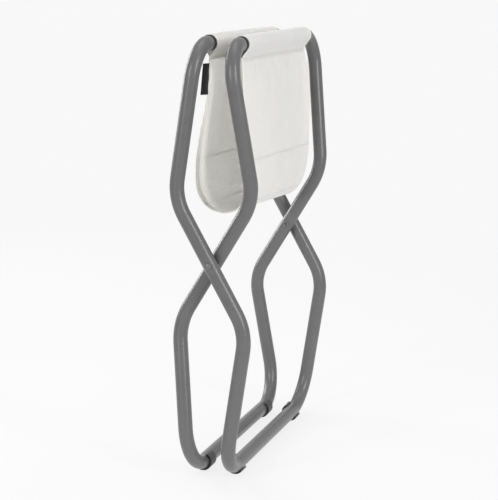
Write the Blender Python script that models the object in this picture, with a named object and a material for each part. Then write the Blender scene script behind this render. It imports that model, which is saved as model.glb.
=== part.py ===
"""Folding sling stool, folded flat and standing on its two bottom bars.

Bars run along X, the stool opens along Y, Z is up, and the floor is Z = 0. The outer frame has its top bar
at the back (+Y) and its bottom bar at the front; the inner frame is turned the other way and crosses it at
two rivets. Each bent tube is open at its two upper elbows, where a plug carries the straight top bar that
the sling's sleeve is threaded on. The sling hangs as a loop. It is one sewn cloth, divided here into
strips that turn about lines along X, so that it can follow the frames as they open.
"""

import math

import bmesh
import bpy
from mathutils import Quaternion, Vector

# Frame tubes
TUBE_RADIUS = 0.011
TUBE_WALL = 0.0012
TUBE_SIDES = 12
GAP = 0.0003

# Shape of a frame: heights and depths are measured from the rivet line
BAR_RISE = 0.320
BAR_OUT = 0.026
KNEE_RISE = 0.0964
KNEE_OUT = 0.0565
OUTER_HALF_WIDTH = 0.208
INNER_HALF_WIDTH = 0.2216
INNER_WAIST = 0.1838
ELBOW_RADIUS = 0.048
KNEE_RADIUS = 0.085
CORNER_RADIUS = 0.060
BEND_STEP = math.radians(11.5)

# Top bars and the plugs in their ends, measured along X
OUTER_ELBOW_END = 0.157
INNER_ELBOW_END = 0.1645
COLLAR_LENGTH = 0.0018
COLLAR_RADIUS = 0.0113
BAR_SPIGOT_LENGTH = 0.025
BAR_SPIGOT_RADIUS = 0.0090
ELBOW_SPIGOT_LENGTH = 0.007
ELBOW_SPIGOT_RADIUS = 0.0084

# Rivets and the washers between the tubes
SHANK_RADIUS = 0.003
HOLE_RADIUS = 0.0034
HEAD_RADIUS = 0.0052
HEAD_HEIGHT = 0.0024
TAIL_RADIUS = 0.0044
TAIL_LENGTH = 0.0022
TAIL_BORE = 0.0020
WASHER_RADIUS = 0.008
ROUND_SEGMENTS = 16

# Foot glides: clips on the bottom bars, with a flat for standing folded and another for standing open
OPEN_ANGLE = math.radians(47.0)
GLIDE_LENGTH = 0.018
GLIDE_CENTRE = 0.144
GLIDE_INNER_RADIUS = 0.0115
GLIDE_OUTER_RADIUS = 0.0143
GLIDE_FLAT_HALF_ANGLE = math.radians(17.0)
GLIDE_TIP_RADIUS = 0.0130
GLIDE_TIP_ANGLE = math.radians(12.0)

# Sling: half-widths at the two bars, and the loop's profile measured from the bottom bars' axis
CLOTH = 0.0016
OUTER_SLEEVE_HALF = 0.1543
INNER_SLEEVE_HALF = 0.1618
SLEEVE_RADIUS = 0.0138
SEAM_DROP = 0.0215
BELLY_OUT = 0.043
BELLY_HEIGHT = 0.451
LOOP_BOTTOM = 0.385
BELLY_HANDLE = 0.063
TOP_LEAN = 0.0007
ARC_FULLNESS = 0.58
CURVE_STEPS = 48

# Lines the strips turn about, as (distance out, height above the bottom bars' axis)
UPPER_HINGE = (0.034, 0.567)
LOWER_HINGE = (0.036, 0.414)
BOTTOM_HINGE = (0.015, 0.389)
UPPER_HINGE_GAP = 0.002
LOWER_HINGE_GAP = 0.003
BOTTOM_STRIP = (0.012, 0.0205)
LOWER_STRIP_END = 0.025

# Label in the back panel's edge
LABEL_HEIGHT = 0.046
LABEL_WIDTH = 0.0145
LABEL_THICKNESS = 0.001
LABEL_TOP = 0.610
LABEL_TURN = math.radians(28.0)

BASE = GLIDE_OUTER_RADIUS
PIVOT = Vector((0, 0, BASE + BAR_RISE))
BACK, FRONT = 1, -1
RIGHT, LEFT = 1, -1


def clear_scene():
    for item in list(bpy.data.objects):
        bpy.data.objects.remove(item, do_unlink=True)


def material(name, colour, roughness, metallic=0.0):
    made = bpy.data.materials.get(name) or bpy.data.materials.new(name)
    made.use_nodes = True
    shader = made.node_tree.nodes["Principled BSDF"]
    shader.inputs["Base Color"].default_value = (*colour, 1.0)
    shader.inputs["Roughness"].default_value = roughness
    shader.inputs["Metallic"].default_value = metallic
    made.diffuse_color = (*colour, 1.0)
    return made


def add_object(name, shape, look, origin):
    """Make an object whose origin is at origin from a bmesh in world coordinates."""
    bmesh.ops.translate(shape, verts=shape.verts, vec=-Vector(origin))
    bmesh.ops.recalc_face_normals(shape, faces=shape.faces)
    mesh = bpy.data.meshes.new(name)
    shape.to_mesh(mesh)
    shape.free()
    mesh.shade_smooth()
    mesh.set_sharp_from_angle(angle=math.radians(40))
    item = bpy.data.objects.new(name, mesh)
    item.location = origin
    item.data.materials.append(look)
    bpy.context.collection.objects.link(item)
    return item


def bridge(shape, ring_a, ring_b):
    """Join two rings of the same number of points with quads."""
    count = len(ring_a)
    for i in range(count):
        j = (i + 1) % count
        shape.faces.new((ring_a[i], ring_a[j], ring_b[j], ring_b[i]))


def rounded_path(corners, radii):
    """Points along a line through the corners, with each inner corner turned by an arc."""
    points = [corners[0]]
    for before, corner, after, radius in zip(corners, corners[1:], corners[2:], radii):
        back = (before - corner).normalized()
        on = (after - corner).normalized()
        turn = math.pi - back.angle(on)
        reach = radius * math.tan(turn / 2)
        centre = corner + (back + on).normalized() * radius / math.cos(turn / 2)
        first = corner + back * reach - centre
        last = corner + on * reach - centre
        axis = first.cross(last).normalized()
        steps = math.ceil(turn / BEND_STEP)
        for i in range(steps + 1):
            points.append(centre + Quaternion(axis, turn * i / steps) @ first)
    points.append(corners[-1])
    kept = [points[0]]
    for point in points[1:]:
        if (point - kept[-1]).length > GAP:
            kept.append(point)
    return kept


def tube_rings(shape, path, radius):
    """Rings of points around a path, without twist."""
    rings = []
    before = (path[1] - path[0]).normalized()
    side = before.orthogonal().normalized()
    for i, centre in enumerate(path):
        ahead = (path[min(i + 1, len(path) - 1)] - path[max(i - 1, 0)]).normalized()
        side = before.rotation_difference(ahead) @ side
        other = ahead.cross(side)
        ring = []
        for k in range(TUBE_SIDES):
            angle = 2 * math.pi * k / TUBE_SIDES
            ring.append(shape.verts.new(centre + radius * (math.cos(angle) * side + math.sin(angle) * other)))
        rings.append(ring)
        before = ahead
    return rings


def hollow_tube(path, radius=TUBE_RADIUS, wall=TUBE_WALL):
    """A tube along a path, open at both ends."""
    shape = bmesh.new()
    outside = tube_rings(shape, path, radius)
    inside = tube_rings(shape, path, radius - wall)
    for rings in (outside, inside):
        for ring_a, ring_b in zip(rings, rings[1:]):
            bridge(shape, ring_a, ring_b)
    bridge(shape, outside[0], inside[0])
    bridge(shape, outside[-1], inside[-1])
    return shape


def turned(profile, centre, direction, segments=ROUND_SEGMENTS):
    """Turn a profile of (distance along X, radius) about the X line through centre."""
    shape = bmesh.new()
    rings = []
    for along, radius in profile:
        at = Vector(centre) + Vector((direction * along, 0, 0))
        if radius == 0:
            rings.append([shape.verts.new(at)])
            continue
        ring = []
        for k in range(segments):
            angle = 2 * math.pi * k / segments
            ring.append(shape.verts.new(at + Vector((0, radius * math.cos(angle), radius * math.sin(angle)))))
        rings.append(ring)
    pairs = list(zip(rings, rings[1:]))
    if profile[0][1] != 0:
        pairs.append((rings[-1], rings[0]))
    for ring_a, ring_b in pairs:
        if len(ring_a) > 1 and len(ring_b) > 1:
            bridge(shape, ring_a, ring_b)
            continue
        tip, rim = (ring_a, ring_b) if len(ring_a) == 1 else (ring_b, ring_a)
        for i in range(segments):
            shape.faces.new((tip[0], rim[i], rim[(i + 1) % segments]))
    return shape


def extruded(sections):
    """A closed solid through matching outlines, one list of points each."""
    shape = bmesh.new()
    rings = [[shape.verts.new(point) for point in section] for section in sections]
    for ring_a, ring_b in zip(rings, rings[1:]):
        bridge(shape, ring_a, ring_b)
    for ring in (rings[0], rings[-1]):
        bmesh.ops.triangulate(shape, faces=[shape.faces.new(ring)])
    return shape


def bent_frame(name, bar_side, half_width, waist, elbow_end, look):
    """One bent tube: both legs and the bottom bar, from elbow end to elbow end."""
    right_leg = [
        Vector((elbow_end, bar_side * BAR_OUT, BAR_RISE)),
        Vector((half_width, bar_side * BAR_OUT, BAR_RISE)),
        Vector((waist, bar_side * KNEE_OUT, KNEE_RISE)),
        Vector((waist, -bar_side * KNEE_OUT, -KNEE_RISE)),
        Vector((half_width, -bar_side * BAR_OUT, -BAR_RISE)),
    ]
    left_leg = [Vector((-p.x, p.y, p.z)) for p in reversed(right_leg)]
    corners = [PIVOT + p for p in right_leg + left_leg]
    leg_radii = [ELBOW_RADIUS, KNEE_RADIUS, KNEE_RADIUS, CORNER_RADIUS]
    path = rounded_path(corners, leg_radii + leg_radii[::-1])
    frame = add_object(name, hollow_tube(path), look, PIVOT)
    drill = add_object(name + "_drill", turned([(-0.3, 0), (-0.3, HOLE_RADIUS), (0.3, HOLE_RADIUS), (0.3, 0)],
                                               PIVOT, 1), look, PIVOT)
    drill.hide_render = True
    drill.display_type = "WIRE"
    cut = frame.modifiers.new("rivet_holes", "BOOLEAN")
    cut.operation = "DIFFERENCE"
    cut.solver = "EXACT"
    cut.object = drill
    return frame


def top_bar(name, bar_side, elbow_end, look):
    """The straight tube inside a sleeve, between the collars of its plugs."""
    half = elbow_end - COLLAR_LENGTH - 2 * GAP
    height = PIVOT.z + BAR_RISE
    path = [Vector((x, bar_side * BAR_OUT, height)) for x in (-half, half)]
    return add_object(name, hollow_tube(path), look, (0, bar_side * BAR_OUT, height))


def plug(name, bar_side, side, elbow_end, look):
    """A plug with a collar between the elbow and the top bar, and a spigot in each."""
    centre = Vector((0, bar_side * BAR_OUT, PIVOT.z + BAR_RISE))
    collar_out = elbow_end - GAP
    collar_in = collar_out - COLLAR_LENGTH
    profile = [
        (collar_in - BAR_SPIGOT_LENGTH, 0),
        (collar_in - BAR_SPIGOT_LENGTH, BAR_SPIGOT_RADIUS - 0.0010),
        (collar_in - BAR_SPIGOT_LENGTH + 0.0010, BAR_SPIGOT_RADIUS),
        (collar_in, BAR_SPIGOT_RADIUS),
        (collar_in, COLLAR_RADIUS),
        (collar_out, COLLAR_RADIUS),
        (collar_out, ELBOW_SPIGOT_RADIUS),
        (collar_out + ELBOW_SPIGOT_LENGTH - 0.0010, ELBOW_SPIGOT_RADIUS),
        (collar_out + ELBOW_SPIGOT_LENGTH, ELBOW_SPIGOT_RADIUS - 0.0010),
        (collar_out + ELBOW_SPIGOT_LENGTH, 0),
    ]
    return add_object(name, turned(profile, centre, side), look, centre)


def rivet(name, side, look):
    """A rivet through both tubes: domed head outside, rolled tail with its bore inside."""
    head_face = OUTER_HALF_WIDTH + TUBE_RADIUS + GAP
    tail_face = INNER_WAIST - TUBE_RADIUS - GAP
    tail_end = tail_face - TAIL_LENGTH
    profile = [
        (tail_end + 0.0025, 0),
        (tail_end + 0.0025, TAIL_BORE),
        (tail_end, TAIL_BORE),
        (tail_end, TAIL_RADIUS - 0.0010),
        (tail_end + 0.0008, TAIL_RADIUS),
        (tail_face, TAIL_RADIUS),
        (tail_face, SHANK_RADIUS),
        (head_face, SHANK_RADIUS),
        (head_face, HEAD_RADIUS),
    ]
    dome_steps = 4
    for i in range(1, dome_steps):
        angle = math.pi / 2 * i / dome_steps
        profile.append((head_face + HEAD_HEIGHT * math.sin(angle), HEAD_RADIUS * math.cos(angle)))
    profile.append((head_face + HEAD_HEIGHT, 0))
    return add_object(name, turned(profile, PIVOT, side), look, PIVOT)


def washer(name, side, look):
    """The washer on the rivet that keeps the two tubes apart."""
    near = INNER_WAIST + TUBE_RADIUS + GAP
    far = OUTER_HALF_WIDTH - TUBE_RADIUS - GAP
    profile = [(near, HOLE_RADIUS), (near, WASHER_RADIUS), (far, WASHER_RADIUS), (far, HOLE_RADIUS)]
    return add_object(name, turned(profile, PIVOT, side), look, PIVOT)


def around_bar(bar_side, angle, radius):
    """A point around a bottom bar, by its angle from straight down towards the middle of the stool.

    bar_side is the side of the frame's top bar; its bottom bar is on the other side.
    """
    return Vector((0, bar_side * (radius * math.sin(angle) - BAR_OUT), BASE - radius * math.cos(angle)))


def glide(name, bar_side, side, look):
    """A clip around a bottom bar, open on its upper outer side, with flats to stand on folded and open."""
    flats = [OPEN_ANGLE * i for i in range(-1, 4)]
    corner_radius = GLIDE_OUTER_RADIUS / math.cos(GLIDE_FLAT_HALF_ANGLE)
    outline = [(flats[0] - GLIDE_TIP_ANGLE, GLIDE_TIP_RADIUS), (flats[0], GLIDE_OUTER_RADIUS)]
    for before, after in zip(flats, flats[1:]):
        outline.append((before + GLIDE_FLAT_HALF_ANGLE, corner_radius))
        outline.append((after - GLIDE_FLAT_HALF_ANGLE, corner_radius))
        outline.append((after, GLIDE_OUTER_RADIUS))
    outline.append((flats[-1] + GLIDE_TIP_ANGLE, GLIDE_TIP_RADIUS))
    centre = side * GLIDE_CENTRE
    near = Vector((centre - GLIDE_LENGTH / 2, 0, 0))
    far = Vector((centre + GLIDE_LENGTH / 2, 0, 0))
    sections = []
    for angle, radius in outline:
        outside = around_bar(bar_side, angle, radius)
        inside = around_bar(bar_side, angle, GLIDE_INNER_RADIUS)
        sections.append([outside + near, outside + far, inside + far, inside + near])
    return add_object(name, extruded(sections), look, (centre, -bar_side * BAR_OUT, BASE))


def bezier(start, handle_a, handle_b, end, share):
    rest = 1 - share
    return (rest ** 3 * start + 3 * rest ** 2 * share * handle_a
            + 3 * rest * share ** 2 * handle_b + share ** 3 * end)


def sling_line():
    """Half of the sling's loop, as points (out, height) from a top bar's axis to the middle below."""
    top = Vector((BAR_OUT, 2 * BAR_RISE))
    belly = Vector((BELLY_OUT, BELLY_HEIGHT))
    bottom = Vector((0, LOOP_BOTTOM))
    handle_drop = ARC_FULLNESS * (BELLY_HEIGHT - LOOP_BOTTOM)
    upper = (top, top + Vector((TOP_LEAN, -BELLY_HANDLE)), belly + Vector((0, BELLY_HANDLE)), belly)
    lower = (belly, belly - Vector((0, handle_drop)), bottom + Vector((ARC_FULLNESS * BELLY_OUT, 0)), bottom)
    line = [bezier(*upper, i / CURVE_STEPS) for i in range(CURVE_STEPS)]
    line += [bezier(*lower, i / CURVE_STEPS) for i in range(CURVE_STEPS + 1)]
    return line


def along_sling(line):
    """Distance of each point along the line from its start."""
    lengths = [0.0]
    for a, b in zip(line, line[1:]):
        lengths.append(lengths[-1] + (b - a).length)
    return lengths


def sling_point(line, lengths, distance):
    for i in range(1, len(lengths)):
        if lengths[i] >= distance:
            share = (distance - lengths[i - 1]) / (lengths[i] - lengths[i - 1])
            return line[i - 1].lerp(line[i], share)
    return line[-1]


def distance_at(line, lengths, test):
    """The distance of the first point that passes the test."""
    for point, length in zip(line, lengths):
        if test(point):
            return length
    return lengths[-1]


def half_width(bar_side, distance, total):
    """The cloth widens evenly from the outer frame's bar to the inner frame's."""
    start = OUTER_SLEEVE_HALF if bar_side == BACK else INNER_SLEEVE_HALF
    middle = (OUTER_SLEEVE_HALF + INNER_SLEEVE_HALF) / 2
    return start + (middle - start) * distance / total


def strip(name, bar_side, start, end, origin, steps, look):
    """A strip of the sling between two distances along the loop."""
    line = sling_line()
    lengths = along_sling(line)
    probe = 0.0005
    sections = []
    for i in range(steps + 1):
        distance = start + (end - start) * i / steps
        here = sling_point(line, lengths, distance)
        ahead = sling_point(line, lengths, min(distance + probe, lengths[-1]))
        behind = sling_point(line, lengths, distance - probe)
        run = (ahead - behind).normalized()
        normal = Vector((run.y, -run.x)) * CLOTH / 2
        width = half_width(bar_side, distance, lengths[-1])
        section = []
        for x, offset in ((-width, -normal), (width, -normal), (width, normal), (-width, normal)):
            point = here + offset
            section.append(Vector((x, bar_side * point.x, BASE + point.y)))
        sections.append(section)
    out, height = origin
    return add_object(name, extruded(sections), look, (0, bar_side * out, BASE + height))


def sleeve(name, bar_side, half, look):
    """The sewn sleeve around a top bar, drawn together below it at the seam."""
    centre = Vector((0, bar_side * BAR_OUT, PIVOT.z + BAR_RISE))
    round_steps = 12
    spread = math.radians(118)

    def outline(radius, drop, half_seam):
        points = []
        for i in range(round_steps + 1):
            angle = -spread + 2 * spread * i / round_steps
            points.append(Vector((0, radius * math.sin(angle), radius * math.cos(angle))))
        points.append(Vector((0, half_seam, -drop)))
        points.append(Vector((0, -half_seam, -drop)))
        return points

    shape = bmesh.new()
    rings = []
    for x in (-half, half):
        for radius, drop, seam in ((SLEEVE_RADIUS, SEAM_DROP, 0.0012),
                                   (SLEEVE_RADIUS - CLOTH, SEAM_DROP - 0.0030, 0.0006)):
            outline_points = outline(radius, drop, seam)
            rings.append([shape.verts.new(centre + point + Vector((x, 0, 0))) for point in outline_points])
    outer_left, inner_left, outer_right, inner_right = rings
    bridge(shape, outer_left, outer_right)
    bridge(shape, inner_left, inner_right)
    bridge(shape, outer_left, inner_left)
    bridge(shape, outer_right, inner_right)
    return add_object(name, shape, look, centre)


def sling_half(frame, bar_side, sleeve_half, look):
    """The sleeve and the four strips that hang from one top bar, down to the middle of the loop."""
    line = sling_line()
    lengths = along_sling(line)
    upper = distance_at(line, lengths, lambda p: p.y <= UPPER_HINGE[1])
    lower = distance_at(line, lengths, lambda p: p.y <= LOWER_HINGE[1])
    lower_end = distance_at(line, lengths, lambda p: p.y < BELLY_HEIGHT and p.x <= LOWER_STRIP_END)
    bottom_start = distance_at(line, lengths, lambda p: p.y < BELLY_HEIGHT and p.x <= BOTTOM_STRIP[1])
    bottom_end = distance_at(line, lengths, lambda p: p.y < BELLY_HEIGHT and p.x <= BOTTOM_STRIP[0])
    bar_axis = (BAR_OUT, 2 * BAR_RISE)
    sleeve(frame + "_sleeve", bar_side, sleeve_half, look)
    spans = [
        ("_sling_upper", SEAM_DROP + 0.0008, upper - UPPER_HINGE_GAP, bar_axis, 3),
        ("_sling_middle", upper + UPPER_HINGE_GAP, lower - LOWER_HINGE_GAP, UPPER_HINGE, 8),
        ("_sling_lower", lower + LOWER_HINGE_GAP, lower_end, LOWER_HINGE, 3),
        ("_sling_bottom", bottom_start, bottom_end, BOTTOM_HINGE, 2),
    ]
    for part, start, end, origin, steps in spans:
        strip(frame + part, bar_side, start, end, origin, steps, look)


def label(look):
    """A plain woven label that stands out of the back panel's left edge."""
    line = sling_line()
    lengths = along_sling(line)
    sections = []
    across = Vector((-math.cos(LABEL_TURN), math.sin(LABEL_TURN)))
    normal = Vector((across.y, -across.x)) * LABEL_THICKNESS / 2
    for height in (LABEL_TOP, LABEL_TOP - LABEL_HEIGHT):
        distance = distance_at(line, lengths, lambda p: p.y <= height)
        edge = Vector((-half_width(BACK, distance, lengths[-1]) - GAP,
                       sling_point(line, lengths, distance).x))
        corners = (edge + normal, edge - normal, edge + across * LABEL_WIDTH - normal,
                   edge + across * LABEL_WIDTH + normal)
        sections.append([Vector((corner.x, corner.y, BASE + height)) for corner in corners])
    return add_object("label", extruded(sections), look, (0, BAR_OUT, PIVOT.z + BAR_RISE))


def build():
    clear_scene()
    paint = material("frame_paint", (0.155, 0.155, 0.160), 0.42, 0.3)
    plastic = material("black_plastic", (0.022, 0.022, 0.024), 0.5)
    steel = material("rivet_paint", (0.150, 0.150, 0.155), 0.4, 0.5)
    cloth = material("sling_cloth", (0.78, 0.76, 0.71), 0.95)
    black_cloth = material("label_cloth", (0.015, 0.015, 0.017), 0.9)

    bent_frame("outer_frame_tube", BACK, OUTER_HALF_WIDTH, OUTER_HALF_WIDTH, OUTER_ELBOW_END, paint)
    bent_frame("inner_frame_tube", FRONT, INNER_HALF_WIDTH, INNER_WAIST, INNER_ELBOW_END, paint)
    frames = (("outer", BACK, OUTER_ELBOW_END, OUTER_SLEEVE_HALF),
              ("inner", FRONT, INNER_ELBOW_END, INNER_SLEEVE_HALF))
    for frame, bar_side, elbow_end, sleeve_half in frames:
        top_bar(frame + "_top_bar", bar_side, elbow_end, paint)
        for hand, side in (("right", RIGHT), ("left", LEFT)):
            plug(f"{frame}_plug_{hand}", bar_side, side, elbow_end, plastic)
            glide(f"{frame}_glide_{hand}", bar_side, side, plastic)
        sling_half(frame, bar_side, sleeve_half, cloth)
    for hand, side in (("right", RIGHT), ("left", LEFT)):
        rivet("rivet_" + hand, side, steel)
        washer("washer_" + hand, side, plastic)
    label(black_cloth)


build()
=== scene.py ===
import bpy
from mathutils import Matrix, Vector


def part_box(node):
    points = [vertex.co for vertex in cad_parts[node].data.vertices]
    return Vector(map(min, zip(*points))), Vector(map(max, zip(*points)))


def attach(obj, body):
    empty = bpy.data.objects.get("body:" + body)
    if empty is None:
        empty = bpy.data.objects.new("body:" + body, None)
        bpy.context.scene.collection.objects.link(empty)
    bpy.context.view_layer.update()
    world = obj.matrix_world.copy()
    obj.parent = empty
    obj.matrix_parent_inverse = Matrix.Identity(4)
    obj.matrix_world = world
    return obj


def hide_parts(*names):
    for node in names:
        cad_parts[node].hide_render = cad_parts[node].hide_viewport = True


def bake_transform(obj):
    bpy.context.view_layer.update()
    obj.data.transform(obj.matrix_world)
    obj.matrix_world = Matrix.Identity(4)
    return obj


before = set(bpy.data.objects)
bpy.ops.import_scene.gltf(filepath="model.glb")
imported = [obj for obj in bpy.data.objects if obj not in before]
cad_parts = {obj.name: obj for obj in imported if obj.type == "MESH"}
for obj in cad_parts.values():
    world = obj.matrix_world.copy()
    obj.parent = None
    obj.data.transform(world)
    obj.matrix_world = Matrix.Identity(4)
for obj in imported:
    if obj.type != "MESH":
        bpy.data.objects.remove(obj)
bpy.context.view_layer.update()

import math

import bpy
import numpy as np
from mathutils import Matrix, Quaternion, Vector

MM = 0.001

# Frame tubes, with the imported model's sizes. Heights and depths are measured from the rivet line.
TUBE_RADIUS = 0.011
TUBE_WALL = 0.0012
TUBE_SIDES = 40
BAR_RISE = 0.320
BAR_OUT = 0.026
KNEE_RISE = 0.0964
KNEE_OUT = 0.0565
OUTER_HALF_WIDTH = 0.208
INNER_HALF_WIDTH = 0.2216
INNER_WAIST = 0.1838
ELBOW_RADIUS = 0.048
KNEE_RADIUS = 0.085
CORNER_RADIUS = 0.060
BEND_STEP = math.radians(3.0)
BEND_FLATTENING = 0.035
RIVET_DIMPLE = 0.0006
DIMPLE_REACH = 0.011
DIMPLE_RUN = 0.016
DIMPLE_STEP = 0.0012

# Plugs between the elbows and the top bars. The collar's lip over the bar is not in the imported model.
OUTER_ELBOW_END = 0.157
INNER_ELBOW_END = 0.1645
COLLAR_LENGTH = 0.0018
COLLAR_RADIUS = 0.0113
COLLAR_LIP = 0.0075
ELBOW_TAPER = 0.0005
ELBOW_DROOP = 0.0006
ELBOW_TAPER_LENGTH = 0.012
ELBOW_STEP = 0.0015
GAP = 0.0003

# Rivets and washers
HEAD_RADIUS = 0.0052
HEAD_HEIGHT = 0.0024
TAIL_RADIUS = 0.0044
TAIL_LENGTH = 0.0022
TAIL_BORE = 0.0020
SHANK_RADIUS = 0.003
HOLE_RADIUS = 0.0034
WASHER_RADIUS = 0.008

# Glides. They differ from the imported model's: 6 mm longer, run on into the bar's bend, and rounder between
# their flats.
OPEN_ANGLE = math.radians(47.0)
GLIDE_LENGTH = 0.024
GLIDE_CENTRE = 0.1465
GLIDE_INNER_RADIUS = 0.0115
GLIDE_OUTER_RADIUS = 0.0143
GLIDE_FLAT_HALF_ANGLE = math.radians(9.0)
GLIDE_TIP_RADIUS = 0.0130
GLIDE_TIP_ANGLE = math.radians(12.0)
SLANTED_LEG_REACH = 0.0103

# Sling: half-widths at the two bars, and the loop's profile from the bottom bars' axis
OUTER_SLEEVE_HALF = 0.1543
INNER_SLEEVE_HALF = 0.1618
HANDLE = 0.063
LEAN = 0.0007
CURVE_STEPS = 160

# The cloth: thickness, side hems, the sleeve's seam, and the distances along a half where its pieces meet
CLOTH = 1.0 * MM
HEM = 12.0 * MM
HEM_STITCH = 10.4 * MM
SEAM = 20.5 * MM
SLEEVE_END = 25.0 * MM
MIDDLE_START = 175.0 * MM
LOWER_START = 245.0 * MM
CLOTH_SLIDE = 3.5 * MM
SLEEVE_RADIUS = 12.9 * MM
RETURN_OFFSET = 1.9 * MM
LEAD_POINTS = 6
RETURN_POINTS = 10
STITCH_PITCH = 3.3 * MM
STITCH_LENGTH = 2.5 * MM
STITCH_RADIUS = 0.30 * MM
PANEL_STEP = 2.5 * MM
LABEL_OUT = 13.6 * MM

BASE = GLIDE_OUTER_RADIUS
PIVOT = Vector((0, 0, BASE + BAR_RISE))
BACK, FRONT = 1, -1
RIGHT, LEFT = 1, -1

# Camera
VIEW_AZIMUTH = math.radians(-71.952)
VIEW_ELEVATION = math.radians(11.038)
VIEW_ROLL = math.radians(1.053)
VIEW_TARGET = Vector((0, 0, 0.3223))
VIEW_DISTANCE = 2.3916
VIEW_RIGHT = 0.00825
VIEW_UP = 0.00233
LENS = 108.02


# ---------------------------------------------------------------- materials


class Nodes:
    """Adds nodes to a material's tree and links them."""

    def __init__(self, name):
        self.material = bpy.data.materials.new(name)
        self.material.use_nodes = True
        self.tree = self.material.node_tree
        self.shader = self.tree.nodes["Principled BSDF"]

    def link(self, value, socket):
        if isinstance(value, bpy.types.NodeSocket):
            self.tree.links.new(value, socket)
        else:
            socket.default_value = value

    def node(self, kind, **settings):
        made = self.tree.nodes.new(kind)
        for key, value in settings.items():
            setattr(made, key, value)
        return made

    def math(self, operation, a, b=0.0, clamp=False):
        made = self.node("ShaderNodeMath", operation=operation, use_clamp=clamp)
        self.link(a, made.inputs[0])
        self.link(b, made.inputs[1])
        return made.outputs[0]

    def coordinates(self, kind):
        return self.node("ShaderNodeTexCoord").outputs[kind]

    def scaled(self, vector, scale):
        made = self.node("ShaderNodeMapping")
        self.link(vector, made.inputs["Vector"])
        made.inputs["Scale"].default_value = scale
        return made.outputs[0]

    def noise(self, vector, scale, detail=2.0, roughness=0.5):
        made = self.node("ShaderNodeTexNoise")
        self.link(vector, made.inputs["Vector"])
        made.inputs["Scale"].default_value = scale
        made.inputs["Detail"].default_value = detail
        made.inputs["Roughness"].default_value = roughness
        return made.outputs["Fac"]

    def ramp(self, value, *stops):
        made = self.node("ShaderNodeValToRGB")
        self.link(value, made.inputs[0])
        elements = made.color_ramp.elements
        while len(elements) < len(stops):
            elements.new(0.5)
        for element, (position, colour) in zip(elements, stops):
            element.position = position
            element.color = (*colour, 1.0) if isinstance(colour, tuple) else (colour, colour, colour, 1.0)
        return made.outputs[0]

    def mix(self, factor, a, b):
        made = self.node("ShaderNodeMix", data_type="RGBA")
        self.link(factor, made.inputs["Factor"])
        for value, socket in ((a, made.inputs["A"]), (b, made.inputs["B"])):
            self.link((*value, 1.0) if isinstance(value, tuple) else value, socket)
        return made.outputs["Result"]

    def bump(self, height, distance, strength, under=None):
        made = self.node("ShaderNodeBump")
        self.link(height, made.inputs["Height"])
        made.inputs["Distance"].default_value = distance
        made.inputs["Strength"].default_value = strength
        if under is not None:
            self.link(under, made.inputs["Normal"])
        return made.outputs[0]

    def set(self, **values):
        for key, value in values.items():
            self.link(value, self.shader.inputs[key.replace("_", " ")])
        return self.material


def painted_steel(name, colour, pale, roughness):
    """Satin powder coat: fine orange peel, faint mottling, and pale scuffs low on the bars."""
    n = Nodes(name)
    place = n.coordinates("Object")
    mottle = n.noise(place, 38.0, 3.0, 0.6)
    grain = n.noise(place, 1500.0, 2.0, 0.6)
    peel = n.noise(place, 420.0, 2.0, 0.5)
    body = n.mix(n.ramp(mottle, (0.30, 0.0), (0.72, 1.0)), colour, tuple(c * 1.10 for c in colour))
    speckle = n.mix(n.ramp(grain, (0.46, 0.0), (0.62, 0.42)), body, tuple(c * 0.80 for c in colour))
    split = n.node("ShaderNodeSeparateXYZ")
    n.link(place, split.inputs[0])
    low = n.ramp(n.math("MULTIPLY", split.outputs["Z"], 20.0), (0.0, 1.0), (0.62, 0.0))
    scuff = n.ramp(n.noise(n.scaled(place, (1.0, 2.6, 2.6)), 130.0, 5.0, 0.72), (0.60, 0.0), (0.68, 0.55))
    worn = n.math("MULTIPLY", low, scuff)
    n.set(Base_Color=n.mix(worn, speckle, pale))
    n.set(Roughness=n.ramp(mottle, (0.2, roughness - 0.05), (0.8, roughness + 0.06)))
    n.set(Specular_IOR_Level=0.5)
    n.set(Normal=n.bump(grain, 0.00012, 0.30, n.bump(peel, 0.00025, 0.22)))
    return n.material


def moulded_plastic(name, colour, roughness, painted_end_shade=None):
    """Plastic with a fine spark-eroded grain. If an end colour is given, faces that point along X get it as
    painted shade, darker than the body.
    """
    n = Nodes(name)
    place = n.coordinates("Object")
    grain = n.noise(place, 1900.0, 3.0, 0.65)
    cloud = n.noise(place, 70.0, 3.0, 0.5)
    body = n.mix(n.ramp(cloud, (0.35, 0.0), (0.75, 1.0)), colour, tuple(c * 1.3 for c in colour))
    if painted_end_shade is not None:
        split = n.node("ShaderNodeSeparateXYZ")
        n.link(n.coordinates("Normal"), split.inputs[0])
        # Painted shade: faces that point along X, the clip's end faces, are darkened in colour to stand in
        # for shade.
        facing = n.ramp(n.math("ABSOLUTE", split.outputs["X"]), (0.45, 0.0), (0.75, 1.0))
        body = n.mix(facing, body, painted_end_shade)
    n.set(Base_Color=body)
    n.set(Roughness=n.ramp(cloud, (0.2, roughness - 0.06), (0.8, roughness + 0.08)))
    n.set(Normal=n.bump(grain, 0.00015, 0.35))
    return n.material


def threads(n, place, pitch):
    """Height of a plain weave in metres of cloth, from 0 to 1."""
    split = n.node("ShaderNodeSeparateXYZ")
    n.link(place, split.inputs[0])
    across = n.math("SINE", n.math("MULTIPLY", split.outputs["X"], math.pi / pitch))
    along = n.math("SINE", n.math("MULTIPLY", split.outputs["Y"], math.pi / pitch))
    over = n.math("ADD", n.math("MULTIPLY", n.math("MULTIPLY", across, along), 4.0), 0.5, clamp=True)
    warp = n.math("POWER", n.math("ABSOLUTE", across), 0.7)
    weft = n.math("POWER", n.math("ABSOLUTE", along), 0.7)
    height = n.math("ADD", n.math("MULTIPLY", warp, over),
                    n.math("MULTIPLY", weft, n.math("SUBTRACT", 1.0, over)))
    return height, split


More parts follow.
